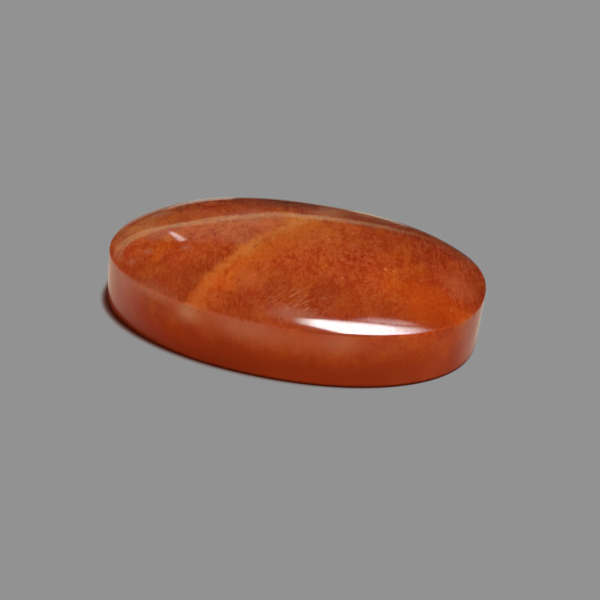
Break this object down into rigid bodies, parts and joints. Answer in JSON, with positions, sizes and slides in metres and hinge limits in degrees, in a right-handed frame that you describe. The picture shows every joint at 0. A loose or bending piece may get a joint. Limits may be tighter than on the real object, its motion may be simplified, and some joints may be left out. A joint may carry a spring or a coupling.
{
  "type": "sunstone cabochon",
  "caption": "Polished oval cabochon of translucent orange-brown sunstone, with a flat back, an upright wall and a low dome.",
  "frame": {"origin": "middle of the flat back, in its plane", "axes": "+X along the oval's length towards its slightly fuller end, +Y across it, +Z out of the top of the dome"},
  "size_m": [0.0302, 0.02, 0.0074],
  "materials": {
    "sunstone": "high polish, translucent orange-brown with paler veins and fine dark copper-red flecks"
  },
  "bodies": {
    "root": {"cabochon": "sunstone"}
  },
  "joints": []
}
